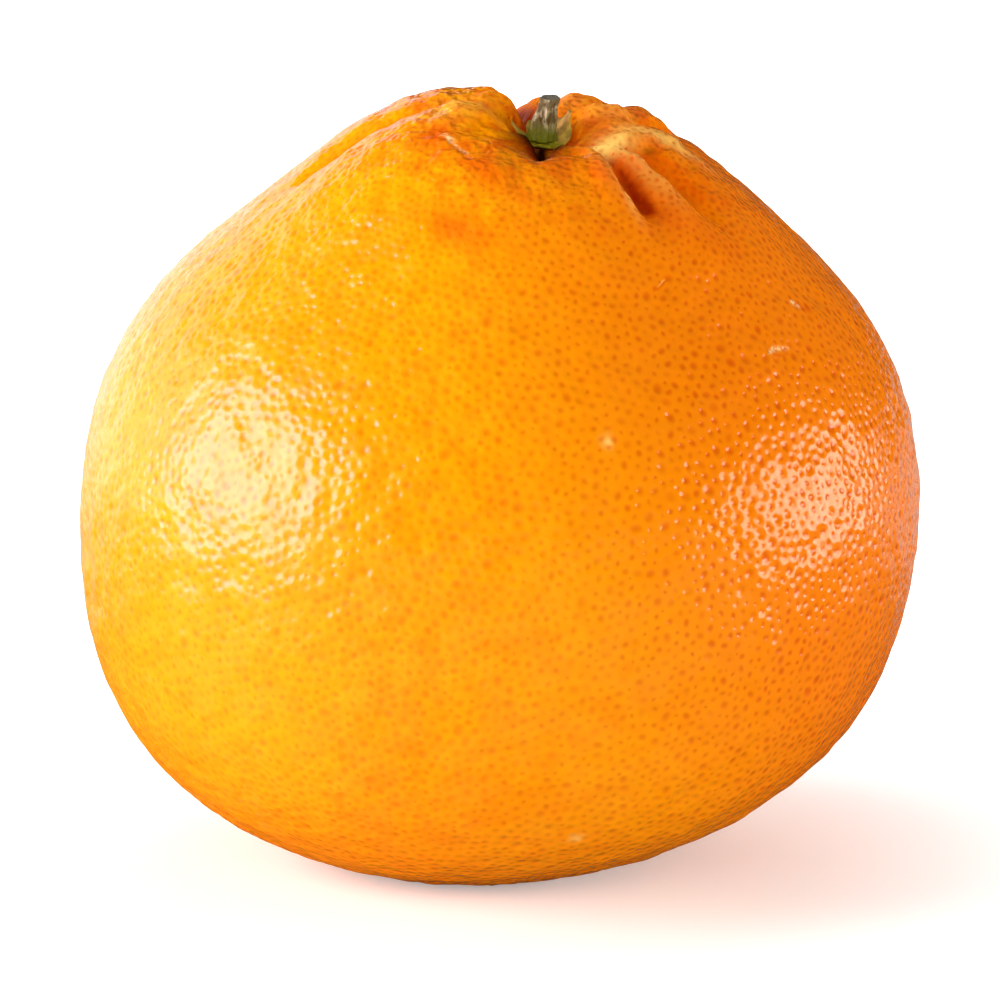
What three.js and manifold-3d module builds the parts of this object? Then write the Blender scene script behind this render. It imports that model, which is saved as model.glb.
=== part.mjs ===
// A whole orange with a lobed, furrowed neck, its calyx and a short cut stem.
// Millimetres, +Z up. The front is -Y. The origin is the centre of the small
// flat spot it rests on, and the neck nods towards the front and leans to +X.

import * as THREE from "three";
import { mergeVertices } from "three/addons/utils/BufferGeometryUtils.js";
import Module from "manifold-3d";

// Body: distance from the core to the skin every 15 degrees, from the stem
// end (first) round to the blossom end (last).
const BODY_RADII = [40.0, 40.6, 40.4, 39.4, 40.8, 43.1, 44.8, 46.2, 47.6, 47.3, 45.7, 44.2, 43.9];
// How far the right side swells beyond the left, term by term.
const LOPSIDED = [0.9, -0.8, 0.0, -0.1, -0.2, 0.2];
const THREE_SIDED = 0.35;
const OVAL = 0.3;
const DEPTH_OVER_WIDTH = 0.985;

// How the fruit stands.
const NOD_DEG = 11;
const LEAN_DEG = 7;
const FLAT_CUT = 1.0;

// Neck: a dimple for the stem inside a raised ring.
const DIMPLE_DEPTH = 4.2;
const DIMPLE_RADIUS = 4.8;
const DIMPLE_POWER = 2.6;
const RING_HEIGHT = 0.5;
const RING_RADIUS = 8.0;
const RING_WIDTH = 4.2;
// Lobes and hollows of the ring: azimuth, extra height, spread in degrees,
// distance from the neck's axis and length along it.
const LOBES = [
  [188, 1.0, 28, 10.5, 5.5],
  [232, -0.9, 20, 7.5, 4.0],
  [104, -0.8, 9, 9.0, 4.5],
  [92, -0.4, 12, 17.5, 5.0],
  [76, 0.6, 18, 8.0, 4.2],
  [44, 0.7, 11, 15.0, 4.5],
  [30, 0.9, 16, 8.0, 4.2],
  [17, -1.1, 14, 18.0, 5.5],
  [4, 0.6, 12, 12.5, 3.5],
  [352, 0.6, 20, 8.0, 4.2],
  [317, 1.6, 8, 14.5, 5.5],
  [315, 0.9, 11, 8.0, 4.2],
  [296, 1.2, 7, 13.5, 4.5],
  [284, -0.3, 12, 8.0, 4.2],
];
// Furrows between lobes: azimuth, depth, start, end, width on the clockwise
// side, width on the other side, and turn in degrees per millimetre.
const FURROWS = [
  [305, 3.0, 3.0, 23, 0.7, 2.2, 0.0],
  [328, 1.9, 4.0, 26, 0.8, 2.0, 0.3],
  [18, 1.2, 7.0, 24, 1.9, 1.5, 2.0],
  [52, 0.9, 7.0, 20, 1.6, 1.6, 0.0],
  [84, 1.3, 5.0, 20, 1.2, 1.4, 0.0],
  [105, 4.2, 3.0, 31, 1.2, 1.4, 0.0],
  [174, 2.2, 3.0, 30, 2.2, 1.7, 0.3],
  [267, 4.2, 2.4, 15, 1.3, 1.5, -0.3],
];

// Blossom end: a small scar sunk in the underside.
const SCAR_DEPTH = 0.5;
const SCAR_RADIUS = 2.6;

// Calyx: a thin ragged star pressed into the dimple. Its points: azimuth,
// reach beyond the waist, spread in degrees and rise at the tip.
const CALYX_WAIST = 2.2;
const CALYX_MIDDLE = 0.9;
const CALYX_EDGE = 0.35;
const SEPALS = [
  [181, 1.6, 16, 0.1],
  [262, 0.6, 28, -0.1],
  [349, 0.5, 15, 0.2],
  [31, 0.6, 27, 2.6],
  [66, 0.9, 16, 0.3],
  [122, 1.0, 18, 0.3],
];

// Stem: a ribbed, slightly tapered stub, cut across. Its foot stands a little
// to -X of its tip.
const STEM_TIP = 5.7;
const STEM_FOOT_RADIUS = 1.65;
const STEM_FOOT_SHIFT = -0.5;
const STEM_LOW_RADIUS = 1.5;
const STEM_TOP_RADIUS = 1.02;
const STEM_RIBS = 5;
const STEM_RIB_DEPTH = 0.09;

// Gap left between pieces that touch in the real fruit.
const GAP = 0.3;

// Mesh steps.
const SKIN_SECTORS = 80;
const NECK_STEP = 1.15;
const NECK_REACH = 24;
const BODY_STEP_DEG = 4.8;

const RIND = { color: "#f28c0a", roughness: 0.42 };
const CALYX = { color: "#7d7a3a", roughness: 0.8 };
const STEM = { color: "#8f8259", roughness: 0.85 };

const wasm = await Module();
wasm.setup();

function radians(degrees) {
  return (degrees * Math.PI) / 180;
}

function smoothStep(from, to, value) {
  const t = Math.min(Math.max((value - from) / (to - from), 0), 1);
  return t * t * (3 - 2 * t);
}

// Amplitudes of the even cosine waves that pass through evenly spaced radii.
function cosineTerms(radii) {
  const last = radii.length - 1;
  return radii.map((_, wave) => {
    let sum = 0;
    radii.forEach((radius, i) => {
      const weight = i === 0 || i === last ? 0.5 : 1;
      sum += weight * radius * Math.cos((Math.PI * wave * i) / last);
    });
    const half = wave === 0 || wave === last ? 0.5 : 1;
    return (half * 2 * sum) / last;
  });
}

const BODY_TERMS = cosineTerms(BODY_RADII);

// Distance from the core to the plain body, before neck and scar.
function bodyRadius(polar, azimuth) {
  let radius = 0;
  BODY_TERMS.forEach((term, wave) => {
    radius += term * Math.cos(wave * polar);
  });
  LOPSIDED.forEach((term, i) => {
    radius += term * Math.sin((i + 2) * polar) * Math.cos(azimuth);
  });
  const girth = Math.sin(polar);
  radius += THREE_SIDED * girth ** 3 * Math.sin(3 * azimuth);
  radius += OVAL * girth ** 2 * Math.sin(2 * azimuth);
  return radius;
}

// Height of the ring and its lobes at a distance from the neck's axis.
function swelling(reach, azimuth) {
  let height = RING_HEIGHT * Math.exp(-(((reach - RING_RADIUS) / RING_WIDTH) ** 2));
  for (const [centre, extra, spread, distance, length] of LOBES) {
    const turn = azimuth - radians(centre);
    const apart = Math.atan2(Math.sin(turn), Math.cos(turn)) / radians(spread);
    const along = (reach - distance) / length;
    height += extra * Math.exp(-(apart ** 2) - along ** 2);
  }
  return height;
}

// Depth of all the furrows at a distance from the neck's axis.
function furrowDepth(reach, azimuth) {
  let depth = 0;
  for (const [centre, deep, start, end, before, after, turn] of FURROWS) {
    const apart = azimuth - radians(centre + turn * (reach - 8));
    const across = reach * Math.sin(apart);
    const side = across < 0 ? before : after;
    const width = side * (0.6 + 0.05 * reach);
    const rounded = Math.sqrt(across * across + 0.12) - 0.346;
    const facing = smoothStep(-0.1, 0.4, Math.cos(apart));
    const opening = smoothStep(start - 1.5, start + 1.5, reach);
    const closing = 1 - smoothStep(end - 9, end, reach);
    depth += deep * Math.exp(-rounded / width) * facing * opening * closing;
  }
  return depth;
}

// Distance from the core to the skin. Furrows can be left out for pieces
// that bridge them.
function skinRadius(polar, azimuth, withFurrows = true) {
  let radius = bodyRadius(polar, azimuth);
  const reach = radius * Math.sin(polar);
  if (Math.cos(polar) < 0) {
    return radius - SCAR_DEPTH * Math.exp(-((reach / SCAR_RADIUS) ** 2));
  }
  radius += swelling(reach, azimuth);
  radius -= DIMPLE_DEPTH * Math.exp(-((reach / DIMPLE_RADIUS) ** DIMPLE_POWER));
  if (withFurrows) {
    radius -= furrowDepth(reach, azimuth);
  }
  return radius;
}

// Point at a polar angle, azimuth and distance from the core.
function fromCore(polar, azimuth, distance) {
  const girth = distance * Math.sin(polar);
  return new THREE.Vector3(
    girth * Math.cos(azimuth),
    girth * Math.sin(azimuth) * DEPTH_OVER_WIDTH,
    distance * Math.cos(polar),
  );
}

// Polar angles of the skin's rings: close together on the neck.
function skinRings() {
  const rings = [];
  const scale = BODY_RADII[1];
  for (let reach = NECK_STEP; reach < NECK_REACH; reach += NECK_STEP) {
    rings.push(Math.asin(reach / scale));
  }
  const first = rings[rings.length - 1];
  const count = Math.round((Math.PI - first) / radians(BODY_STEP_DEG));
  for (let i = 1; i < count; i += 1) {
    rings.push(first + ((Math.PI - first) * i) / count);
  }
  return rings;
}

// Revolves a profile about +Z and moves each vertex to a new place. The
// profile runs from the lower end of the axis to the upper end.
function revolve(profile, sectors, place) {
  const points = profile.map(([radius, height]) => new THREE.Vector2(radius, height));
  const lathe = new THREE.LatheGeometry(points, sectors);
  lathe.deleteAttribute("uv");
  lathe.deleteAttribute("normal");
  lathe.rotateX(Math.PI / 2);
  const whole = mergeVertices(lathe, 1e-5);
  const position = whole.getAttribute("position");
  const point = new THREE.Vector3();
  for (let i = 0; i < position.count; i += 1) {
    point.fromBufferAttribute(position, i);
    const moved = place(point, Math.atan2(point.y, point.x));
    position.setXYZ(i, moved.x, moved.y, moved.z);
  }
  return whole;
}

// Triangles of a closed mesh as a solid, without the flat ones at the poles.
function toSolid(geometry) {
  const index = geometry.getIndex().array;
  const kept = [];
  for (let i = 0; i < index.length; i += 3) {
    const [a, b, c] = [index[i], index[i + 1], index[i + 2]];
    if (a !== b && b !== c && c !== a) {
      kept.push(a, b, c);
    }
  }
  const mesh = new wasm.Mesh({
    numProp: 3,
    vertProperties: new Float32Array(geometry.getAttribute("position").array),
    triVerts: new Uint32Array(kept),
  });
  return new wasm.Manifold(mesh);
}

// Solid as a three.js geometry.
function toGeometry(solid) {
  const mesh = solid.getMesh();
  const geometry = new THREE.BufferGeometry();
  const positions = new Float32Array(mesh.vertProperties);
  geometry.setAttribute("position", new THREE.BufferAttribute(positions, 3));
  geometry.setIndex([...mesh.triVerts]);
  geometry.computeVertexNormals();
  return geometry;
}

// The skin as one closed surface round the core.
function skinSurface() {
  const rings = skinRings();
  const profile = [[0, -1]];
  for (let i = rings.length - 1; i >= 0; i -= 1) {
    profile.push([Math.sin(rings[i]), Math.cos(rings[i])]);
  }
  profile.push([0, 1]);
  return revolve(profile, SKIN_SECTORS, (point, azimuth) => {
    const polar = Math.acos(Math.min(Math.max(point.z, -1), 1));
    return fromCore(polar, azimuth, skinRadius(polar, azimuth));
  });
}

// Turn of the fruit from its own axis to how it stands.
function standingTurn() {
  const nod = new THREE.Matrix4().makeRotationX(radians(NOD_DEG));
  const lean = new THREE.Matrix4().makeRotationY(radians(LEAN_DEG));
  return nod.multiply(lean);
}

// Turn and shift that put the fruit on its flat spot, centred on the origin.
function standingPlace() {
  const turn = standingTurn();
  const surface = skinSurface().applyMatrix4(turn);
  const position = surface.getAttribute("position");
  const point = new THREE.Vector3();
  let lowest = Infinity;
  for (let i = 0; i < position.count; i += 1) {
    lowest = Math.min(lowest, position.getZ(i));
  }
  const rim = new THREE.Box2();
  for (let i = 0; i < position.count; i += 1) {
    point.fromBufferAttribute(position, i);
    if (point.z < lowest + FLAT_CUT) {
      rim.expandByPoint(new THREE.Vector2(point.x, point.y));
    }
  }
  const centre = rim.getCenter(new THREE.Vector2());
  const shift = new THREE.Matrix4().makeTranslation(-centre.x, -centre.y, -lowest - FLAT_CUT);
  return shift.multiply(turn);
}

// The block below the resting plane.
function groundBlock() {
  const block = new THREE.BoxGeometry(200, 200, 40);
  block.deleteAttribute("uv");
  block.deleteAttribute("normal");
  block.translate(0, 0, -20);
  return toSolid(mergeVertices(block));
}

function makeFruit(place) {
  const whole = toSolid(skinSurface().applyMatrix4(place));
  return toGeometry(whole.subtract(groundBlock()));
}

// Outline of the calyx, and how much its points rise, at one azimuth.
function calyxRim(azimuth) {
  const rim = { reach: CALYX_WAIST, rise: 0 };
  for (const [centre, extra, spread, rise] of SEPALS) {
    const turn = azimuth - radians(centre);
    const apart = Math.atan2(Math.sin(turn), Math.cos(turn)) / radians(spread);
    const share = Math.exp(-(apart ** 2));
    rim.reach += extra * share;
    rim.rise += rise * share;
  }
  return rim;
}

// Height of the calyx's underside above the core, following the dimple.
function calyxSeat(reach, azimuth) {
  const polar = Math.asin(reach / BODY_RADII[0]);
  return skinRadius(polar, azimuth, false) * Math.cos(polar) + GAP;
}

function makeCalyx(place) {
  const steps = [0.25, 0.5, 0.75, 1];
  const under = steps.map((step) => [step, 0]);
  const over = steps.map((step) => [step, 1]).reverse();
  const profile = [[0, 0], ...under, ...over, [0, 1]];
  const star = revolve(profile, 72, (point, azimuth) => {
    const step = Math.hypot(point.x, point.y);
    const rim = calyxRim(azimuth);
    const reach = step * rim.reach;
    const thick = CALYX_MIDDLE + (CALYX_EDGE - CALYX_MIDDLE) * step;
    const height = calyxSeat(reach, azimuth) + point.z * thick + rim.rise * step ** 3;
    return new THREE.Vector3(reach * Math.cos(azimuth), reach * Math.sin(azimuth), height);
  });
  return toGeometry(toSolid(star.applyMatrix4(place)));
}

function makeStem(place) {
  const floor = skinRadius(0, 0, false);
  const foot = floor + GAP + CALYX_MIDDLE + GAP + 0.1;
  const tip = floor + STEM_TIP;
  const profile = [
    [0, foot],
    [STEM_FOOT_RADIUS * 0.6, foot],
    [STEM_FOOT_RADIUS, foot + 0.25],
    [STEM_LOW_RADIUS + 0.12, foot + 0.6],
    [STEM_LOW_RADIUS - 0.05, foot + 1.1],
    [STEM_LOW_RADIUS - 0.15, foot + 1.8],
    [STEM_TOP_RADIUS + 0.12, foot + 2.6],
    [STEM_TOP_RADIUS, foot + 3.3],
    [STEM_TOP_RADIUS + 0.04, tip - 0.25],
    [STEM_TOP_RADIUS - 0.1, tip],
    [STEM_TOP_RADIUS * 0.5, tip - 0.05],
    [0, tip - 0.12],
  ];
  const stub = revolve(profile, 30, (point, azimuth) => {
    const rib = STEM_RIB_DEPTH * Math.cos(STEM_RIBS * azimuth + 0.15 * point.z);
    const girth = 1 + rib + 0.04 * Math.sin(2 * azimuth + 0.7);
    const slant = point.z > tip - 0.5 ? 0.1 * point.x : 0;
    const shift = (STEM_FOOT_SHIFT * (tip - point.z)) / (tip - foot);
    return new THREE.Vector3(point.x * girth + shift, point.y * girth, point.z + slant);
  });
  return toGeometry(toSolid(stub.applyMatrix4(place)));
}

function namedMesh(name, geometry, look) {
  const material = new THREE.MeshStandardMaterial({
    color: look.color,
    roughness: look.roughness,
    metalness: 0,
  });
  material.name = name;
  const mesh = new THREE.Mesh(geometry, material);
  mesh.name = name;
  return mesh;
}

const place = standingPlace();
const orange = new THREE.Group();
orange.name = "orange";
orange.add(namedMesh("fruit", makeFruit(place), RIND));
orange.add(namedMesh("calyx", makeCalyx(place), CALYX));
orange.add(namedMesh("stem", makeStem(place), STEM));

export default orange;
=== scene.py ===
"""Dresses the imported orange: pitted rind, calyx, cut stem, floor, lamps and camera.

The shapes' fields are in millimetres; finishes, lamps and camera are in metres, as
in Blender. The frame is the part's own: +Z up, -Y the front, the origin at the
centre of the resting spot.
"""

import logging
import math
from dataclasses import dataclass, field
from enum import Enum

import bpy
import numpy as np
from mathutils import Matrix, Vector


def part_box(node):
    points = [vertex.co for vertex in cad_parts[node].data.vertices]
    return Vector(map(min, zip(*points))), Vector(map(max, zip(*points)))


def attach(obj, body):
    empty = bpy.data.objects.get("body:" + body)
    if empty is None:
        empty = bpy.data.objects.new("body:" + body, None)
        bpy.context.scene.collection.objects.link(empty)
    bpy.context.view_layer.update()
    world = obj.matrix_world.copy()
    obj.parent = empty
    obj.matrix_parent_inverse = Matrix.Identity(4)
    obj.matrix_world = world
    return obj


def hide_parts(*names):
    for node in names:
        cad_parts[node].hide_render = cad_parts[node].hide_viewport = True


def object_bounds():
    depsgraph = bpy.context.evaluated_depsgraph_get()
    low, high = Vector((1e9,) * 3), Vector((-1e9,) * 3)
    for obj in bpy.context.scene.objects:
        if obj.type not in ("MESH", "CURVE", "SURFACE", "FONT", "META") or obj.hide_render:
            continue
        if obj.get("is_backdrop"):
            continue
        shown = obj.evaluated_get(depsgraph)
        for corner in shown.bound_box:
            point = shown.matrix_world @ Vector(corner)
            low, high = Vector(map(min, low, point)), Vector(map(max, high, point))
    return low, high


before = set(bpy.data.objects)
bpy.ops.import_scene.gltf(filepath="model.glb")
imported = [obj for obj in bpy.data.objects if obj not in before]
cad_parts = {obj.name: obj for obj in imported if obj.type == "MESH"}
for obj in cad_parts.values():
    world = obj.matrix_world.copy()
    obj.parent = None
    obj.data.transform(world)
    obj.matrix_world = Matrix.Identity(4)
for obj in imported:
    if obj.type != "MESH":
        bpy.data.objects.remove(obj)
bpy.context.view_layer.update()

Array = np.ndarray
Material = bpy.types.Material
Piece = bpy.types.Object
Socket = bpy.types.NodeSocket
Rgba = tuple[float, float, float, float]

LOG = logging.getLogger("orange")
MM = 0.001
WHITE = (1.0, 1.0, 1.0, 1.0)
FLOAT = "NodeSocketFloat"
VECTOR = "NodeSocketVector"


class Slot(Enum):
    """Material slots of the record."""

    RIND = "rind"
    CALYX = "calyx"
    STEM = "stem"


def smooth_step(start: float, end: float, value: Array) -> Array:
    """Rises smoothly from 0 at start to 1 at end.

    Args:
        start: Where the rise begins.
        end: Where the rise ends.
        value: Places to measure.

    Returns:
        The height of the step at each place.
    """
    t = np.clip((value - start) / (end - start), 0.0, 1.0)
    return t * t * (3.0 - 2.0 * t)


def wrapped(angle: Array) -> Array:
    """Brings angles to within half a turn either way.

    Args:
        angle: Angles in radians.

    Returns:
        The same angles from -pi to pi.
    """
    return np.arctan2(np.sin(angle), np.cos(angle))


def screen(red: int, green: int, blue: int) -> Rgba:
    """Turns a screen colour into a linear one.

    Args:
        red: Red, 0 to 255.
        green: Green, 0 to 255.
        blue: Blue, 0 to 255.

    Returns:
        Linear red, green, blue and alpha 1.
    """
    parts = [c / 255.0 for c in (red, green, blue)]
    linear = [c / 12.92 if c <= 0.04045 else ((c + 0.055) / 1.055) ** 2.4 for c in parts]
    return (*linear, 1.0)


@dataclass(frozen=True)
class Lobe:
    """One swelling of the ring round the neck's dimple."""

    azimuth: float
    extra: float
    spread: float
    reach: float = 8.0
    length: float = 4.2


@dataclass(frozen=True)
class Furrow:
    """One furrow that runs out from the dimple between two lobes."""

    azimuth: float
    depth: float
    start: float
    end: float
    before: float
    after: float
    turn: float = 0.0


class Tone(Enum):
    """What a mark on the rind looks like; a later one lies over an earlier one."""

    # The first tone is red-orange patches and also painted shade along creases.
    FLUSH = "flush"
    # The pale tone is mostly painted highlight.
    PALE = "pale"
    CORK = "cork"
    # The deep and dark tones are painted shade and painted shadow.
    DEEP_SHADE = "deep"
    DARK = "dark"


@dataclass(frozen=True)
class Mark:
    """One soft oval mark on the rind; its heading is 0 towards the underside."""

    tone: Tone
    polar: float
    azimuth: float
    length: float
    width: float
    heading: float = 0.0
    amount: float = 1.0


@dataclass(frozen=True)
class Stroke:
    """One fine straight line on the rind, from one place to another."""

    tone: Tone
    polar: tuple[float, float]
    azimuth: tuple[float, float]
    width: float
    amount: float = 1.0


@dataclass
class Skin:
    """The rule of the skin: its distance from the core in each direction."""

    body_radii: tuple[float, ...] = (
        40.0, 40.6, 40.4, 39.4, 40.8, 43.1, 44.8, 46.2, 47.6, 47.3, 45.7, 44.2, 43.9,
    )
    lopsided: tuple[float, ...] = (0.9, -0.8, 0.0, -0.1, -0.2, 0.2)
    three_sided: float = 0.35
    oval: float = 0.3
    depth_over_width: float = 0.985
    nod_deg: float = 11.0
    lean_deg: float = 7.0
    flat_cut: float = 1.0
    dimple_depth: float = 4.2
    dimple_radius: float = 4.8
    dimple_power: float = 2.6
    ring_height: float = 0.5
    ring_radius: float = 8.0
    ring_width: float = 4.2
    furrow_width: float = 0.6
    furrow_widening: float = 0.05
    furrow_rounding: float = 0.12
    furrow_bottom: float = 0.346
    furrow_mouth: float = 1.5
    furrow_fade: float = 9.0
    scar_depth: float = 0.5
    scar_radius: float = 2.6
    lobes: tuple[Lobe, ...] = (
        Lobe(188, 1.0, 28, 10.5, 5.5),
        Lobe(232, -0.9, 20, 7.5, 4.0),
        Lobe(104, -0.8, 9, 9.0, 4.5),
        Lobe(92, -0.4, 12, 17.5, 5.0),
        Lobe(76, 0.6, 18),
        Lobe(30, 0.9, 16),
        Lobe(44, 0.7, 11, 15.0, 4.5),
        Lobe(352, 0.6, 20),
        Lobe(4, 0.6, 12, 12.5, 3.5),
        Lobe(17, -1.1, 14, 18.0, 5.5),
        Lobe(315, 0.9, 11),
        Lobe(317, 1.6, 8, 14.5, 5.5),
        Lobe(284, -0.3, 12),
        Lobe(296, 1.2, 7, 13.5, 4.5),
    )
    furrows: tuple[Furrow, ...] = (
        Furrow(305, 3.0, 3.0, 23, 0.7, 2.2),
        Furrow(328, 1.9, 4.0, 26, 0.8, 2.0, 0.3),
        Furrow(18, 1.2, 7.0, 24, 1.9, 1.5, 2.0),
        Furrow(52, 0.9, 7.0, 20, 1.6, 1.6),
        Furrow(84, 1.3, 5.0, 20, 1.2, 1.4),
        Furrow(105, 4.2, 3.0, 31, 1.2, 1.4),
        Furrow(174, 2.2, 3.0, 30, 2.2, 1.7, 0.3),
        Furrow(267, 4.2, 2.4, 15, 1.3, 1.5, -0.3),
    )
    terms: Array = field(init=False)
    turn: Array = field(init=False)
    shift: Array = field(init=False)

    def __post_init__(self) -> None:
        """Works out the body's waves and how the fruit stands."""
        self.terms = self.cosine_terms()
        self.turn = self.standing_turn()
        self.shift = self.standing_shift()

    def cosine_terms(self) -> Array:
        """Finds the even cosine waves that pass through the body's radii.

        Returns:
            One amplitude for each wave.
        """
        radii = np.array(self.body_radii)
        last = len(radii) - 1
        steps = np.arange(last + 1)
        ends = np.where((steps == 0) | (steps == last), 0.5, 1.0)
        waves = np.cos(np.pi * np.outer(steps, steps) / last)
        return ends * (2.0 / last) * (waves @ (ends * radii))

    def standing_turn(self) -> Array:
        """Turns the fruit from its own axis to how it stands.

        Returns:
            A 3 by 3 matrix.
        """
        nod, lean = math.radians(self.nod_deg), math.radians(self.lean_deg)
        about_x = np.array(
            [[1, 0, 0], [0, math.cos(nod), -math.sin(nod)], [0, math.sin(nod), math.cos(nod)]]
        )
        about_y = np.array(
            [[math.cos(lean), 0, math.sin(lean)], [0, 1, 0], [-math.sin(lean), 0, math.cos(lean)]]
        )
        return about_x @ about_y

    def standing_shift(self) -> Array:
        """Moves the turned fruit on to the CAD fruit's box and the floor.

        Returns:
            The shift in millimetres.
        """
        polar, azimuth = np.meshgrid(
            np.linspace(0.0, math.pi, 240), np.linspace(0.0, math.tau, 360), indexing="ij"
        )
        self.shift = np.zeros(3)
        points = self.stand(self.from_core(polar, azimuth, self.radius(polar, azimuth)))
        low, high = points.min(axis=(0, 1)), points.max(axis=(0, 1))
        cad_low, cad_high = (np.array(corner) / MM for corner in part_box("fruit"))
        shift = (cad_low + cad_high - low - high) / 2.0
        shift[2] = -low[2] - self.flat_cut
        return shift

    def body(self, polar: Array, azimuth: Array) -> Array:
        """Gives the plain body's distance from the core.

        Args:
            polar: Angles from the stem end, in radians.
            azimuth: Angles round the axis, in radians.

        Returns:
            Distances in millimetres.
        """
        radius = sum(term * np.cos(wave * polar) for wave, term in enumerate(self.terms))
        for i, term in enumerate(self.lopsided):
            radius = radius + term * np.sin((i + 2) * polar) * np.cos(azimuth)
        girth = np.sin(polar)
        radius = radius + self.three_sided * girth**3 * np.sin(3 * azimuth)
        return radius + self.oval * girth**2 * np.sin(2 * azimuth)

    def swelling(self, reach: Array, azimuth: Array) -> Array:
        """Gives the height of the neck's ring and lobes.

        Args:
            reach: Distances from the neck's axis, in millimetres.
            azimuth: Angles round the axis, in radians.

        Returns:
            Heights in millimetres.
        """
        ring = ((reach - self.ring_radius) / self.ring_width) ** 2
        height = self.ring_height * np.exp(-ring)
        for lobe in self.lobes:
            apart = np.degrees(wrapped(azimuth - math.radians(lobe.azimuth))) / lobe.spread
            along = (reach - lobe.reach) / lobe.length
            height = height + lobe.extra * np.exp(-(apart**2) - along**2)
        return height

    def furrow_depth(self, reach: Array, azimuth: Array) -> Array:
        """Gives the depth of all the furrows together.

        Args:
            reach: Distances from the neck's axis, in millimetres.
            azimuth: Angles round the axis, in radians.

        Returns:
            Depths in millimetres.
        """
        depth = np.zeros_like(reach)
        for furrow in self.furrows:
            bend = furrow.turn * (reach - self.ring_radius)
            apart = azimuth - np.radians(furrow.azimuth + bend)
            across = reach * np.sin(apart)
            width = self.furrow_width + self.furrow_widening * reach
            width = np.where(across < 0, furrow.before, furrow.after) * width
            rounded = np.sqrt(across**2 + self.furrow_rounding) - self.furrow_bottom
            facing = smooth_step(-0.1, 0.4, np.cos(apart))
            mouth, end = self.furrow_mouth, furrow.end
            opening = smooth_step(furrow.start - mouth, furrow.start + mouth, reach)
            closing = 1.0 - smooth_step(end - self.furrow_fade, end, reach)
            depth += furrow.depth * np.exp(-rounded / width) * facing * opening * closing
        return depth

    def radius(self, polar: Array, azimuth: Array, with_furrows: bool = True) -> Array:
        """Gives the skin's distance from the core.

        Args:
            polar: Angles from the stem end, in radians.
            azimuth: Angles round the axis, in radians.
            with_furrows: Whether the furrows are cut.

        Returns:
            Distances in millimetres.
        """
        body = self.body(polar, azimuth)
        reach = body * np.sin(polar)
        dimple = np.exp(-((reach / self.dimple_radius) ** self.dimple_power))
        top = body + self.swelling(reach, azimuth) - self.dimple_depth * dimple
        if with_furrows:
            top = top - self.furrow_depth(reach, azimuth)
        scar = self.scar_depth * np.exp(-((reach / self.scar_radius) ** 2))
        return np.where(np.cos(polar) < 0, body - scar, top)

    def from_core(self, polar: Array, azimuth: Array, distance: Array) -> Array:
        """Gives points about the core, before the fruit stands.

        Args:
            polar: Angles from the stem end, in radians.
            azimuth: Angles round the axis, in radians.
            distance: Distances from the core, in millimetres.

        Returns:
            Points in millimetres, the last axis of the array x, y, z.
        """
        girth = distance * np.sin(polar)
        across = girth * np.cos(azimuth)
        deep = girth * np.sin(azimuth) * self.depth_over_width
        return np.stack([across, deep, distance * np.cos(polar)], axis=-1)

    def ends(self, stroke: Stroke) -> tuple[Vector, Vector]:
        """Finds where a stroke starts and ends on the skin.

        Args:
            stroke: The stroke.

        Returns:
            Its two ends, in metres in the part's frame.
        """
        polar, azimuth = np.radians(stroke.polar), np.radians(stroke.azimuth)
        ends = self.stand(self.from_core(polar, azimuth, self.radius(polar, azimuth))) * MM
        return Vector(ends[0]), Vector(ends[1])

    def stand(self, points: Array) -> Array:
        """Moves points about the core to where the fruit stands.

        Args:
            points: Points in millimetres about the core.

        Returns:
            Points in millimetres in the part's frame.
        """
        return points @ self.turn.T + self.shift


@dataclass(frozen=True)
class Waves:
    """A smooth random swelling made of plane waves, in millimetres."""

    amount: float
    shortest: float
    longest: float
    count: int
    seed: int
    on_neck: bool = False

    def height(self, points: Array) -> Array:
        """Measures the waves before their amount.

        Args:
            points: Points in millimetres.

        Returns:
            Values of about unit spread.
        """
        draw = np.random.default_rng(self.seed)
        heading = draw.normal(size=(self.count, 3))
        heading /= np.linalg.norm(heading, axis=1, keepdims=True)
        length = np.exp(draw.uniform(math.log(self.shortest), math.log(self.longest), self.count))
        phase = draw.uniform(0.0, math.tau, self.count)
        total = np.zeros(len(points))
        for way, span, start in zip(heading, length, phase):
            total += np.sin(points @ (way * math.tau / span) + start)
        return total * math.sqrt(2.0 / self.count)


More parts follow.
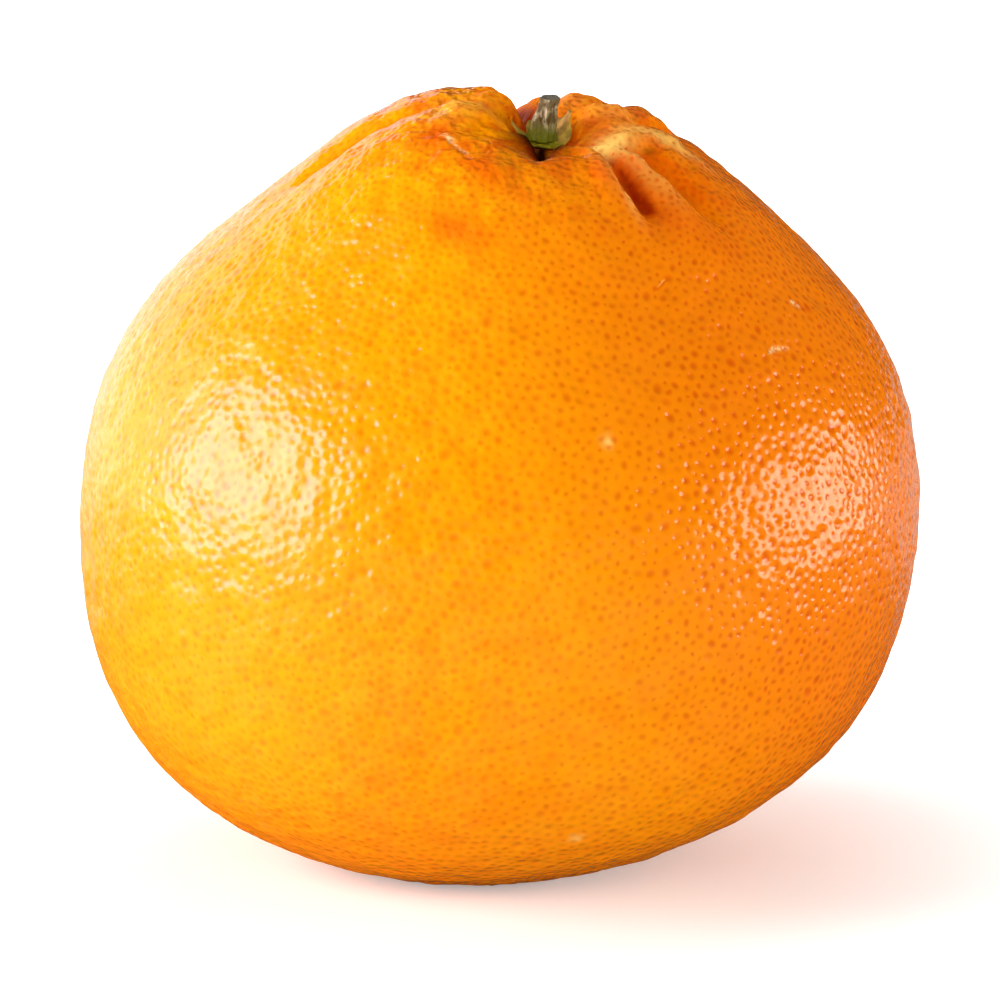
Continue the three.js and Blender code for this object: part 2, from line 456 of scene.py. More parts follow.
class Graph:
    """Adds nodes to a tree and joins them in short calls."""

    def __init__(self, tree: bpy.types.NodeTree) -> None:
        """Keeps the tree.

        Args:
            tree: Where the nodes go.
        """
        self.tree = tree

    def feed(self, socket: Socket, value: object) -> None:
        """Links a socket to another one, or sets its value.

        Args:
            socket: The input to feed.
            value: An output socket or a plain value.
        """
        if isinstance(value, Socket):
            self.tree.links.new(value, socket)
        else:
            socket.default_value = value

    def node(
        self, kind: str, inputs: dict[str | int, object] | None = None, **settings: object
    ) -> bpy.types.Node:
        """Adds one node.

        Args:
            kind: Blender's name of the node's type.
            inputs: What feeds its inputs, by name or number.
            settings: Its own properties.

        Returns:
            The new node.
        """
        made = self.tree.nodes.new(kind)
        for name, value in settings.items():
            setattr(made, name, value)
        for key, value in (inputs or {}).items():
            self.feed(made.inputs[key], value)
        return made

    def math(self, operation: str, *values: object) -> Socket:
        """Adds a Math node.

        Args:
            operation: What it does.
            values: Its inputs in order.

        Returns:
            Its output.
        """
        return self.node("ShaderNodeMath", dict(enumerate(values)), operation=operation).outputs[0]

    def times(self, left: object, right: object) -> Socket:
        """Multiplies two numbers.

        Args:
            left: One number or socket.
            right: The other.

        Returns:
            The product.
        """
        return self.math("MULTIPLY", left, right)

    def vector(self, operation: str, *values: object) -> Socket:
        """Adds a Vector Math node.

        Args:
            operation: What it does.
            values: Its inputs in order.

        Returns:
            The vector it gives, or the number if it gives one.
        """
        inputs = dict(enumerate(values))
        made = self.node("ShaderNodeVectorMath", inputs, operation=operation)
        return made.outputs["Value" if operation in ("DOT_PRODUCT", "LENGTH") else "Vector"]

    def scale(self, vector: object, amount: object) -> Socket:
        """Makes a vector longer or shorter.

        Args:
            vector: The vector.
            amount: What it is multiplied by.

        Returns:
            The new vector.
        """
        inputs = {0: vector, "Scale": amount}
        return self.node("ShaderNodeVectorMath", inputs, operation="SCALE").outputs[0]

    def mix(self, amount: object, low: object, high: object) -> Socket:
        """Mixes two colours.

        Args:
            amount: 0 for the first colour and 1 for the second.
            low: The first colour.
            high: The second colour.

        Returns:
            The mixed colour.
        """
        inputs = {0: amount, 6: low, 7: high}
        return self.node("ShaderNodeMix", inputs, data_type="RGBA").outputs[2]

    def ramp(
        self, value: object, start: float, end: float, low: float = 0.0, high: float = 1.0
    ) -> Socket:
        """Adds a smooth rise or fall between two values.

        Args:
            value: What is ranged.
            start: Where the change begins.
            end: Where it ends.
            low: What it gives at the start.
            high: What it gives at the end.

        Returns:
            The ranged value.
        """
        inputs = {"Value": value, "From Min": start, "From Max": end, "To Min": low, "To Max": high}
        made = self.node("ShaderNodeMapRange", inputs, interpolation_type="SMOOTHSTEP")
        return made.outputs[0]

    def noise(self, place: object, scale: object, detail: object) -> bpy.types.Node:
        """Adds a Noise Texture.

        Args:
            place: Where it is read.
            scale: How fine it is, in waves a metre.
            detail: How many finer layers it has.

        Returns:
            The node.
        """
        inputs = {"Vector": place, "Scale": scale, "Detail": detail}
        return self.node("ShaderNodeTexNoise", inputs)

    def bump(self, height: object, depth: float, normal: object = None) -> Socket:
        """Adds fine relief.

        Args:
            height: The height of the relief, about 0 to 1.
            depth: What a height of 1 measures, in millimetres.
            normal: The normal it starts from, or None for the mesh's own.

        Returns:
            The normal.
        """
        inputs = {"Height": height, "Distance": depth * MM, "Strength": 1.0}
        if normal is not None:
            inputs["Normal"] = normal
        return self.node("ShaderNodeBump", inputs).outputs[0]

    def stored(self, name: str, output: str = "Fac") -> Socket:
        """Reads one of the mesh's own attributes.

        Args:
            name: The attribute's name.
            output: Fac for a number, Vector for a vector.

        Returns:
            Its value.
        """
        return self.node("ShaderNodeAttribute", attribute_name=name).outputs[output]

    def group(self, tree: bpy.types.NodeTree, inputs: dict[str, object]) -> Socket:
        """Adds a shared effect with its own values.

        Args:
            tree: The effect.
            inputs: What feeds it, by name.

        Returns:
            Its first output.
        """
        made = self.tree.nodes.new("ShaderNodeGroup")
        made.node_tree = tree
        for key, value in inputs.items():
            self.feed(made.inputs[key], value)
        return made.outputs[0]


def new_group(
    name: str, vectors: tuple[str, ...], numbers: dict[str, float]
) -> tuple[Graph, dict, Socket]:
    """Starts a shader node group that gives one number.

    Args:
        name: The name of the group and of its output.
        vectors: The names of its vector inputs.
        numbers: Its number inputs, each with a default.

    Returns:
        The graph, its inputs by name and what its output is fed through.
    """
    tree = bpy.data.node_groups.new(name, "ShaderNodeTree")
    for key in vectors:
        tree.interface.new_socket(key, in_out="INPUT", socket_type=VECTOR)
    for key, value in numbers.items():
        socket = tree.interface.new_socket(key, in_out="INPUT", socket_type=FLOAT)
        socket.default_value = value
    tree.interface.new_socket(name, in_out="OUTPUT", socket_type=FLOAT)
    enter, leave = tree.nodes.new("NodeGroupInput"), tree.nodes.new("NodeGroupOutput")
    return Graph(tree), enter.outputs, leave.inputs[0]


@dataclass(frozen=True)
class Patches:
    """Soft patches of one size, in metres; low and high say how much they cover."""

    size: float
    low: float = 0.35
    high: float = 0.65
    detail: float = 2.0


@dataclass(frozen=True)
class Fibres:
    """Fibres of one width, in metres; a small stretch makes them long."""

    size: float
    stretch: float


class Effects:
    """Shader effects that more than one finish uses."""

    def __init__(self) -> None:
        """Builds each effect once."""
        self.patches = self.build_patches()
        self.fibres = self.build_fibres()
        self.line = self.build_line()

    def build_patches(self) -> bpy.types.NodeTree:
        """Builds soft patches of a given size.

        Returns:
            The node group.
        """
        numbers = {"Size": 0.005, "Low": 0.35, "High": 0.65, "Detail": 2.0}
        graph, enter, leave = new_group("patches", ("Vector",), numbers)
        scale = graph.math("DIVIDE", 1.0, enter["Size"])
        noise = graph.noise(enter["Vector"], scale, enter["Detail"]).outputs["Fac"]
        graph.feed(leave, graph.ramp(noise, enter["Low"], enter["High"]))
        return graph.tree

    def build_line(self) -> bpy.types.NodeTree:
        """Builds a line that fades with the distance from it.

        Returns:
            The node group.
        """
        graph, enter, leave = new_group("line", ("Vector", "Start", "End"), {"Width": 0.001})
        along = graph.vector("SUBTRACT", enter["End"], enter["Start"])
        arm = graph.vector("SUBTRACT", enter["Vector"], enter["Start"])
        reach, whole = (graph.vector("DOT_PRODUCT", way, along) for way in (arm, along))
        share = graph.math("DIVIDE", reach, whole)
        share = graph.math("MINIMUM", graph.math("MAXIMUM", share, 0.0), 1.0)
        apart = graph.vector("LENGTH", graph.vector("SUBTRACT", arm, graph.scale(along, share)))
        graph.feed(leave, graph.ramp(apart, 0.0, enter["Width"], 1.0, 0.0))
        return graph.tree

    def build_fibres(self) -> bpy.types.NodeTree:
        """Builds fibres drawn out along the upright.

        Returns:
            The node group.
        """
        graph, enter, leave = new_group("fibres", ("Vector",), {"Size": 0.0004, "Stretch": 0.15})
        squeeze = graph.node("ShaderNodeCombineXYZ", {"X": 1.0, "Y": 1.0, "Z": enter["Stretch"]})
        vector = graph.vector("MULTIPLY", enter["Vector"], squeeze.outputs[0])
        noise = graph.noise(vector, graph.math("DIVIDE", 1.0, enter["Size"]), 4.0)
        noise.inputs["Distortion"].default_value = 0.4
        graph.feed(leave, graph.ramp(noise.outputs["Fac"], 0.3, 0.7))
        return graph.tree


class Paint(Graph):
    """The graph of one material, with the shader it feeds and the place on the object."""

    def __init__(self, name: str, effects: Effects) -> None:
        """Starts a material on Blender's standard shader.

        Args:
            name: The material's name.
            effects: The shared effects.
        """
        self.material = bpy.data.materials.new(name)
        self.material.use_nodes = True
        super().__init__(self.material.node_tree)
        self.effects = effects
        self.place = self.node("ShaderNodeTexCoord").outputs["Object"]

    def patches(self, look: Patches) -> Socket:
        """Adds soft patches.

        Args:
            look: Their size and cover.

        Returns:
            Their strength, 0 to 1.
        """
        inputs = {"Vector": self.place, "Size": look.size, "Low": look.low, "High": look.high}
        return self.group(self.effects.patches, inputs | {"Detail": look.detail})

    def fibres(self, look: Fibres) -> Socket:
        """Adds fibres.

        Args:
            look: Their width and length.

        Returns:
            Their strength, 0 to 1.
        """
        inputs = {"Vector": self.place, "Size": look.size, "Stretch": look.stretch}
        return self.group(self.effects.fibres, inputs)

    def finish(self, colour: object, roughness: object, normal: object) -> Material:
        """Feeds the shader.

        Args:
            colour: The base colour.
            roughness: The roughness.
            normal: The normal.

        Returns:
            The finished material.
        """
        shader = self.tree.nodes["Principled BSDF"]
        self.feed(shader.inputs["Base Color"], colour)
        self.feed(shader.inputs["Roughness"], roughness)
        self.feed(shader.inputs["Normal"], normal)
        return self.material


@dataclass(frozen=True)
class RindFinish:
    """Waxy pitted rind: orange, mottled, redder in pits, with painted shade on the right side, in the
    furrows and in the hollows, and painted highlight on the lobes' crests.
    """

    name: str = "rind skin"
    plain: Rgba = screen(251, 145, 0)
    golden: Rgba = screen(252, 152, 0)
    sunlit: Rgba = screen(254, 170, 0)
    # Red patches, and also the painted shade that reddens the right side.
    ruddy_and_side_shade: Rgba = screen(242, 120, 0)
    pit: Rgba = screen(220, 84, 0)
    # Painted shade in the furrows.
    furrow: Rgba = screen(198, 66, 4)
    # Red-orange patches of the neck, and also painted shade at the feet of the slit and of a crease.
    flush: Rgba = screen(230, 92, 0)
    # Painted shade and painted shadow in the hollow under the calyx and along the slit.
    deep: Rgba = screen(148, 30, 0)
    dark: Rgba = screen(44, 12, 0)
    # Painted highlight on the lobes' crests and tops; also two pale specks.
    pale: Rgba = screen(254, 204, 104)
    cork: Rgba = screen(250, 208, 140)
    broad: Patches = Patches(0.018, detail=3.0)
    small: Patches = Patches(0.0035, 0.45, 0.75)
    small_amount: float = 0.3
    small_neck: float = 0.65
    fine: Patches = Patches(0.0016)
    fine_amount: float = 0.27
    fine_neck: float = 0.55
    blotches: Patches = Patches(0.0024, 0.46, 0.66)
    blotch_neck: float = 0.8
    # Painted highlight on the lobes' crests.
    crest_highlight_span: tuple[float, float] = (0.2, 2.0)
    crest_highlight_amount: float = 0.35
    # Painted shade in the furrows, stronger where they are deeper.
    furrow_shade_span: tuple[float, float] = (0.5, 3.0)
    furrow_shade_amount: float = 0.8
    flecks: Patches = Patches(0.0004, 0.44, 0.56)
    fleck_base: float = 0.25
    wander: float = 0.0007
    wander_scale: float = 900.0
    # Painted shade: the right side, where less light falls, is painted redder.
    side_shade: float = 0.85
    side_shade_heading: tuple[float, float, float] = (1.0, 0.0, 0.35)
    side_shade_span: tuple[float, float] = (0.016, 0.048)
    pit_reach: float = 1.25
    pit_power: float = 2.2
    pit_amount: float = 0.52
    # The pits are painted darker where the painted side shade lies.
    pit_side_shade: float = 0.6
    pit_slope: float = 0.08
    pit_span: tuple[float, float] = (-0.03, 0.04)
    pit_shares: tuple[float, float] = (0.5, 1.5)
    bowl_slope: float = 0.3
    bowl_span: tuple[float, float] = (-0.03, 0.02)
    bowl_shares: tuple[float, float] = (0.7, 1.0)
    pebble_scale: float = 450.0
    pebble_height: float = 0.3
    knob_scale: float = 1000.0
    knob_height: float = 1.8
    gloss: Patches = Patches(0.004)
    gloss_change: float = 0.03
    roughness: float = 0.16
    dull_side: float = 0.1
    dull_width: float = 0.03
    specular: float = 0.5
    strokes: tuple[Stroke, ...] = (
        # Painted shade along the slit beside the front lobe, and in a short crease.
        Stroke(Tone.FLUSH, (17.5, 27.3), (310.0, 307.2), 1.6, 0.9),
        Stroke(Tone.DEEP_SHADE, (18.5, 24.0), (309.8, 308.0), 0.8, 0.7),
        Stroke(Tone.DEEP_SHADE, (22.5, 27.2), (309.0, 307.4), 1.6, 0.8),
        Stroke(Tone.DEEP_SHADE, (25.0, 27.0), (308.0, 307.2), 1.4, 0.7),
        Stroke(Tone.FLUSH, (24.0, 28.0), (338.5, 337.0), 0.8, 0.6),
        # Corky scabs.
        Stroke(Tone.CORK, (19.7, 20.2), (218.4, 225.5), 0.6, 1.0),
        Stroke(Tone.CORK, (20.2, 21.9), (225.5, 238.5), 0.4, 0.6),
        # Painted shade and painted highlight on the two sides of a small ridge.
        Stroke(Tone.FLUSH, (40.3, 41.6), (302.0, 298.3), 0.3, 0.8),
        Stroke(Tone.PALE, (40.1, 41.2), (301.5, 298.5), 0.14, 0.7),
        # Corky scratches with red-orange edges.
        Stroke(Tone.CORK, (48.9, 49.9), (335.2, 336.6), 0.5, 0.8),
        Stroke(Tone.FLUSH, (49.6, 51.4), (336.8, 339.4), 0.7, 0.6),
        Stroke(Tone.CORK, (54.4, 54.2), (319.6, 321.8), 0.5, 0.8),
        Stroke(Tone.CORK, (54.2, 54.8), (322.4, 324.8), 0.4, 0.7),
        Stroke(Tone.FLUSH, (55.0, 55.4), (320.6, 323.6), 0.4, 0.6),
    )

    def build(self, effects: Effects, skin: Skin) -> Material:
        """Builds the rind's material.

        Args:
            effects: The shared effects.
            skin: Where the strokes lie.

        Returns:
            The material.
        """
        paint = Paint(self.name, effects)
        # Painted shade: redder towards the right side.
        side_shade = paint.vector("DOT_PRODUCT", paint.place, self.side_shade_heading)
        side_shade = paint.ramp(side_shade, *self.side_shade_span, 0.0, self.side_shade)
        colour, shade_cover = self.marked(paint, skin, self.mottled(paint, side_shade))
        colour = self.pitted(paint, side_shade, shade_cover, colour)
        low, high = self.roughness - self.gloss_change, self.roughness + self.gloss_change
        gloss = paint.ramp(paint.patches(self.gloss), 0.0, 1.0, low, high)
        left = paint.vector("DOT_PRODUCT", paint.place, (-1.0, 0.0, 0.0))
        duller = paint.ramp(left, 0.0, self.dull_width, 0.0, self.dull_side)
        material = paint.finish(colour, paint.math("ADD", gloss, duller), self.relief(paint))
        shader = material.node_tree.nodes["Principled BSDF"]
        shader.inputs["Specular IOR Level"].default_value = self.specular
        return material

    def within(self, paint: Paint, offset: object, reach: float) -> Socket:
        """Tells how far inside a round dent a place is.

        Args:
            paint: The rind's material.
            offset: The way from the dent's middle, in its own radii.
            reach: Where the dent ends, in its own radii.

        Returns:
            1 in the middle and 0 beyond the reach.
        """
        square = paint.vector("DOT_PRODUCT", offset, offset)
        left = paint.math("MULTIPLY_ADD", square, -1.0 / reach**2, 1.0)
        return paint.math("MAXIMUM", left, 0.0)

    def mottled(self, paint: Paint, side_shade: object) -> Socket:
        """Mixes the body's orange, blotched on the neck, with painted shade on the right side and in
        the furrows and painted highlight on the crests.

        Args:
            paint: The rind's material.
            side_shade: How much painted shade reddens the place.

        Returns:
            The colour.
        """
        neck = paint.stored("neck")
        colour = paint.mix(paint.patches(self.broad), self.plain, self.golden)
        strength = paint.math("MULTIPLY_ADD", neck, self.fine_neck, self.fine_amount)
        fine = paint.times(paint.patches(self.fine), strength)
        colour = paint.mix(fine, colour, self.sunlit)
        strength = paint.math("MULTIPLY_ADD", neck, self.small_neck, self.small_amount)
        small = paint.times(paint.patches(self.small), strength)
        # Red patches, and the painted shade on the right side.
        colour = paint.mix(paint.math("MAXIMUM", side_shade, small), colour, self.ruddy_and_side_shade)
        blotch = paint.times(paint.patches(self.blotches), paint.times(neck, self.blotch_neck))
        colour = paint.mix(blotch, colour, self.flush)
        # Painted highlight on the lobes' crests.
        crest = paint.ramp(paint.stored("crest"), *self.crest_highlight_span, 0.0, self.crest_highlight_amount)
        colour = paint.mix(crest, colour, self.pale)
        # Painted shade in the furrows.
        deep = paint.ramp(paint.stored("furrow"), *self.furrow_shade_span, 0.0, self.furrow_shade_amount)
        return paint.mix(deep, colour, self.furrow)

    def marked(self, paint: Paint, skin: Skin, colour: object) -> tuple[Socket, Socket]:
        """Lays the soft marks and the fine strokes on the rind; some are painted shade and some
        painted highlight.

        Args:
            paint: The rind's material.
            skin: Where the strokes lie.
            colour: The colour under them.

        Returns:
            The marked colour, and how far the painted shade hides the pits.
        """
        shades = {tone: getattr(self, tone.value) for tone in Tone}
        for tone, shade in shades.items():
            colour = paint.mix(paint.stored(tone.value), colour, shade)
        wander = paint.noise(paint.place, self.wander_scale, 1.0).outputs["Color"]
        wander = paint.scale(paint.vector("SUBTRACT", wander, (0.5, 0.5, 0.5)), self.wander)
        bent = paint.vector("ADD", paint.place, wander)
        flecks = paint.math("ADD", paint.patches(self.flecks), self.fleck_base)
        # Painted shadow in the hollow and painted shade along the slit hide the pits.
        shade_cover = paint.stored(Tone.DARK.value)
        for stroke in self.strokes:
            start, end = skin.ends(stroke)
            inputs = {"Vector": bent, "Start": start, "End": end, "Width": stroke.width * MM}
            amount = paint.times(paint.group(paint.effects.line, inputs), stroke.amount)
            if stroke.tone is Tone.CORK:
                amount = paint.times(amount, flecks)
            elif stroke.tone is Tone.DEEP_SHADE:
                shade_cover = paint.math("MAXIMUM", shade_cover, amount)
            colour = paint.mix(amount, colour, shades[stroke.tone])
        return colour, shade_cover

    def pitted(self, paint: Paint, side_shade: object, shade_cover: object, colour: object) -> Socket:
        """Darkens the middle of each pit.

        Args:
            paint: The rind's material.
            side_shade: How much painted shade reddens the place; the pits darken more there.
            shade_cover: How far painted shade hides the pits.
            colour: The colour between the pits.

        Returns:
            The colour with its pits.
        """
        core = self.within(paint, paint.stored("pit_offset", "Vector"), self.pit_reach)
        core = paint.times(paint.math("POWER", core, self.pit_power), paint.stored("pit_tone"))
        # The pits are painted darker on the painted-shade side.
        core = paint.times(core, paint.math("MULTIPLY_ADD", side_shade, self.pit_side_shade, self.pit_amount))
        core = paint.times(core, paint.math("SUBTRACT", 1.0, shade_cover))
        return paint.mix(core, colour, self.pit)

    def relief(self, paint: Paint) -> Socket:
        """Tilts the normal round each pit, most on the right, and over the pebbling.

        Args:
            paint: The rind's material.

        Returns:
            The normal.
        """
        right = paint.vector("DOT_PRODUCT", paint.place, (1.0, 0.0, 0.0))
        slopes = (-4.0 * self.pit_slope * share for share in self.pit_shares)
        steep = paint.ramp(right, *self.pit_span, *slopes)
        offset, out = paint.stored("pit_offset", "Vector"), paint.stored("cell_out", "Vector")
        tilt = paint.scale(offset, paint.times(self.within(paint, offset, 1.0), steep))
        bent = paint.vector("ADD", paint.node("ShaderNodeNewGeometry").outputs["Normal"], tilt)
        slopes = (-self.bowl_slope * share for share in self.bowl_shares)
        slope = paint.ramp(right, *self.bowl_span, *slopes)
        fall = paint.times(self.within(paint, out, 1.0), paint.stored("bowl"))
        bent = paint.vector("ADD", bent, paint.scale(out, paint.times(fall, slope)))
        pebble = paint.noise(paint.place, self.pebble_scale, 0.5).outputs["Fac"]
        knob = paint.noise(paint.place, self.knob_scale, 1.0).outputs["Fac"]
        neck = paint.times(paint.stored("neck"), self.knob_height)
        height = paint.math("MULTIPLY_ADD", knob, neck, pebble)
        return paint.bump(height, self.pebble_height, paint.vector("NORMALIZE", bent))


@dataclass(frozen=True)
class StemFinish:
    """Dry bark: grey tan, brown streaks, green where it leaves the calyx."""

    bark: Rgba = screen(216, 196, 152)
    streak: Rgba = screen(84, 64, 16)
    green: Rgba = screen(108, 114, 4)
    cut: Rgba = screen(104, 98, 80)
    fibres: Fibres = Fibres(0.0004, 0.16)
    blotches: Patches = Patches(0.001, 0.4, 0.56)
    blotch_amount: float = 0.85
    green_span: tuple[float, float] = (0.12, 0.55)
    green_amount: float = 0.9
    roughness: float = 0.8
    relief: float = 0.09

    def build(self, effects: Effects) -> Material:
        """Builds the stem's material.

        Args:
            effects: The shared effects.

        Returns:
            The material.
        """
        paint = Paint("stem bark", effects)
        fibre, blotch = paint.fibres(self.fibres), paint.patches(self.blotches)
        colour = paint.mix(fibre, self.streak, self.bark)
        colour = paint.mix(paint.times(blotch, self.blotch_amount), colour, self.streak)
        low = paint.ramp(paint.stored("along"), *self.green_span, self.green_amount, 0.0)
        colour = paint.mix(low, colour, self.green)
        colour = paint.mix(paint.stored("cut_face"), colour, self.cut)
        normal = paint.bump(paint.math("ADD", fibre, blotch), self.relief)
        return paint.finish(colour, self.roughness, normal)


@dataclass(frozen=True)
class CalyxFinish:
    """Drying calyx: yellow green in the middle, tan at its points."""

    fresh: Rgba = screen(160, 150, 18)
    dry: Rgba = screen(230, 172, 84)
    dark: Rgba = screen(92, 84, 20)
    fibres: Fibres = Fibres(0.0005, 0.6)
    blotches: Patches = Patches(0.0009)
    blotch_amount: float = 0.5
    roughness: float = 0.75
    relief: float = 0.06

    def build(self, effects: Effects) -> Material:
        """Builds the calyx's material.

        Args:
            effects: The shared effects.

        Returns:
            The material.
        """
        paint = Paint("calyx skin", effects)
        colour = paint.mix(paint.stored("dryness"), self.fresh, self.dry)
        blotch = paint.times(paint.patches(self.blotches), self.blotch_amount)
        colour = paint.mix(blotch, colour, self.dark)
        return paint.finish(colour, self.roughness, paint.bump(paint.fibres(self.fibres), self.relief))


def new_piece(name: str, vertices: Array, faces: Array | list) -> Piece:
    """Makes an object of a mesh whose place is in its vertices.

    Args:
        name: The piece's name.
        vertices: Points in millimetres in the part's frame.
        faces: Vertex numbers of each face.

    Returns:
        The new object, smooth shaded.
    """
    mesh = bpy.data.meshes.new(name)
    faces = faces.tolist() if isinstance(faces, Array) else faces
    mesh.from_pydata((np.asarray(vertices) * MM).tolist(), [], faces)
    mesh.shade_smooth()
    mesh.validate()
    piece = bpy.data.objects.new(name, mesh)
    bpy.context.scene.collection.objects.link(piece)
    return piece


def store(piece: Piece, name: str, domain: str, values: Array) -> None:
    """Keeps numbers on a mesh as an attribute.

    Args:
        piece: The object.
        name: The attribute's name.
        domain: POINT, FACE or CORNER.
        values: One number or one vector for each element.
    """
    vector = values.ndim == 2
    kind = "FLOAT_VECTOR" if vector else "FLOAT"
    made = piece.data.attributes.new(name, kind, domain)
    made.data.foreach_set("vector" if vector else "value", values.astype(np.float32).ravel())


def revolved_faces(rings: int, sectors: int) -> list[list[int]]:
    """Joins rings of points into a closed skin with a pole at each end.

    Args:
        rings: How many rings lie between the poles.
        sectors: How many points each ring has.

    Returns:
        Faces that point outwards when the rings climb and turn left.
    """
    top = 1 + rings * sectors
    faces = []
    for i in range(sectors):
        j = (i + 1) % sectors
        faces.append([0, 1 + j, 1 + i])
        for ring in range(rings - 1):
            low = 1 + ring * sectors
            faces.append([low + i, low + j, low + sectors + j, low + sectors + i])
        last = top - sectors
        faces.append([last + i, last + j, top])
    return faces


@dataclass
class Cells:
    """The cells the glands lie in, each a fan of faces round its middle."""

    points: Array
    outward: Array
    place: Array
    first: int
    owner: Array
    fans: Array

    def facing_out(self) -> Array:
        """Turns all the faces round if they point inwards.

        Returns:
            The faces.
        """
        a, b, c = (self.points[self.fans[:, i]] for i in range(3))
        if (np.cross(b - a, c - a) * self.outward[self.fans[:, 0]]).sum() < 0:
            self.fans[:, [1, 2]] = self.fans[:, [2, 1]]
        return self.fans


@dataclass
class Rind:
    """The fruit's skin, with every oil gland a pit in the mesh."""

    skin: Skin
    gland_spacing: float = 1.0
    most_glands: float = 7.0
    seed: int = 7
    crowding: float = 0.3
    crowded_angle: float = 0.6
    pit_depth: float = 0.06
    smallest: float = 0.45
    largest: float = 0.85
    squash: float = 0.3
    swells: tuple[Waves, ...] = (
        Waves(0.05, 2.6, 6.0, 60, 11),
        Waves(0.03, 9.0, 24.0, 40, 12),
        Waves(0.2, 2.4, 4.4, 70, 13, on_neck=True),
        Waves(0.25, 5.0, 9.0, 50, 14, on_neck=True),
    )
    mean_radius: float = 42.0
    neck_reach: float = 16.0
    rough_reach: float = 20.0
    pit_reach: tuple[float, float] = (0.2, 0.75)
    pit_tones: tuple[float, float] = (0.3, 0.95)
    bowls: tuple[float, float] = (0.5, 1.5)
    dull_reach: float = 11.0
    dull_depth: float = 0.8
    marks: tuple[Mark, ...] = (
        # Painted shade and painted shadow in the hollow under the calyx and in a crevice.
        Mark(Tone.DEEP_SHADE, 10.5, 262.0, 5.0, 2.6, 0.0, 1.0),
        Mark(Tone.DARK, 7.0, 264.0, 4.4, 2.3, 0.0, 1.9),
        Mark(Tone.DARK, 17.0, 341.0, 1.0, 0.6, 40.0, 0.5),
        # Red-orange patches on the neck; the marks at the foot of the slit and along the crease at 340
        # degrees are painted shade.
        Mark(Tone.FLUSH, 20.4, 216.0, 3.0, 2.2, 40.0, 0.9),
        Mark(Tone.FLUSH, 23.4, 247.0, 4.0, 1.8, 60.0, 0.8),
        Mark(Tone.FLUSH, 35.0, 247.0, 4.5, 2.0, 80.0, 0.7),
        Mark(Tone.FLUSH, 21.0, 293.0, 3.5, 2.0, 20.0, 0.5),
        Mark(Tone.FLUSH, 28.0, 309.0, 4.0, 2.6, 0.0, 0.55),
        Mark(Tone.FLUSH, 27.0, 340.0, 4.0, 1.6, 20.0, 0.45),
        Mark(Tone.FLUSH, 34.0, 322.0, 5.0, 2.4, 50.0, 0.3),
        Mark(Tone.FLUSH, 9.0, 352.0, 2.0, 1.0, 90.0, 0.6),
        # Painted highlights on the tops of the lobes beside the stem.
        Mark(Tone.PALE, 12.3, 313.0, 1.8, 1.5, 0.0, 1.1),
        Mark(Tone.PALE, 11.0, 336.0, 2.1, 1.4, 30.0, 1.0),
        Mark(Tone.PALE, 18.0, 357.0, 5.0, 1.0, 5.0, 0.7),
        Mark(Tone.PALE, 15.0, 320.0, 3.0, 0.8, 0.0, 0.6),
        Mark(Tone.PALE, 24.0, 300.0, 3.4, 0.6, 0.0, 0.6),
        # Two small pale specks.
        Mark(Tone.PALE, 65.5, 283.0, 0.55, 0.45),
        Mark(Tone.PALE, 123.4, 286.0, 0.5, 0.45),
    )

    def start_surface(self) -> Piece:
        """Makes the surface the glands are strewn on, about the core.

        Returns:
            A plain object.
        """
        rings, sectors = 200, 300
        polar = np.linspace(math.pi, 0.0, rings + 2)
        azimuth = np.linspace(0.0, math.tau, sectors, endpoint=False)
        p, a = np.meshgrid(polar[1:-1], azimuth, indexing="ij")
        crowd = 1.0 + self.crowding * np.exp(-((p / self.crowded_angle) ** 2))
        points = self.skin.from_core(p, a, self.skin.radius(p, a) * crowd).reshape(-1, 3)
        ends = np.array([[math.pi, 0.0], [0.0, 0.0]])
        reach = self.skin.radius(ends[:, 0], ends[:, 1])
        poles = self.skin.from_core(ends[:, 0], ends[:, 1], reach)
        vertices = np.vstack([poles[:1], points, poles[1:]])
        return new_piece("gland bed", vertices, revolved_faces(rings, sectors))

    def gland_tree(self, material: Material) -> bpy.types.NodeTree:
        """Builds the nodes that strew glands and grow one cell round each.

        Args:
            material: The rind's material.

        Returns:
            The Geometry Nodes tree.
        """
        tree = bpy.data.node_groups.new("gland cells", "GeometryNodeTree")
        sockets = {"Geometry": "Geometry", "Spacing": "Float", "Most per area": "Float", "Seed": "Int"}
        for name, kind in sockets.items():
            tree.interface.new_socket(name, in_out="INPUT", socket_type="NodeSocket" + kind)
        tree.interface.new_socket("Geometry", in_out="OUTPUT", socket_type="NodeSocketGeometry")
        graph = Graph(tree)
        enter = tree.nodes.new("NodeGroupInput").outputs
        leave = tree.nodes.new("NodeGroupOutput").inputs
        inputs = {"Mesh": enter["Geometry"], "Distance Min": enter["Spacing"]}
        inputs |= {"Density Max": enter["Most per area"], "Seed": enter["Seed"]}
        kind = "GeometryNodeDistributePointsOnFaces"
        strewn = graph.node(kind, inputs, distribute_method="POISSON").outputs["Points"]
        heading = graph.vector("NORMALIZE", graph.node("GeometryNodeInputPosition").outputs[0])
        inputs = {"Geometry": strewn, "Position": heading}
        grown = graph.node("GeometryNodeSetPosition", inputs).outputs[0]
        for kind in ("ConvexHull", "DualMesh", "RealizeInstances"):
            grown = graph.node("GeometryNode" + kind, {0: grown}).outputs[0]
        inputs = {"Geometry": grown, "Material": material}
        graph.feed(leave[0], graph.node("GeometryNodeSetMaterial", inputs).outputs[0])
        return tree

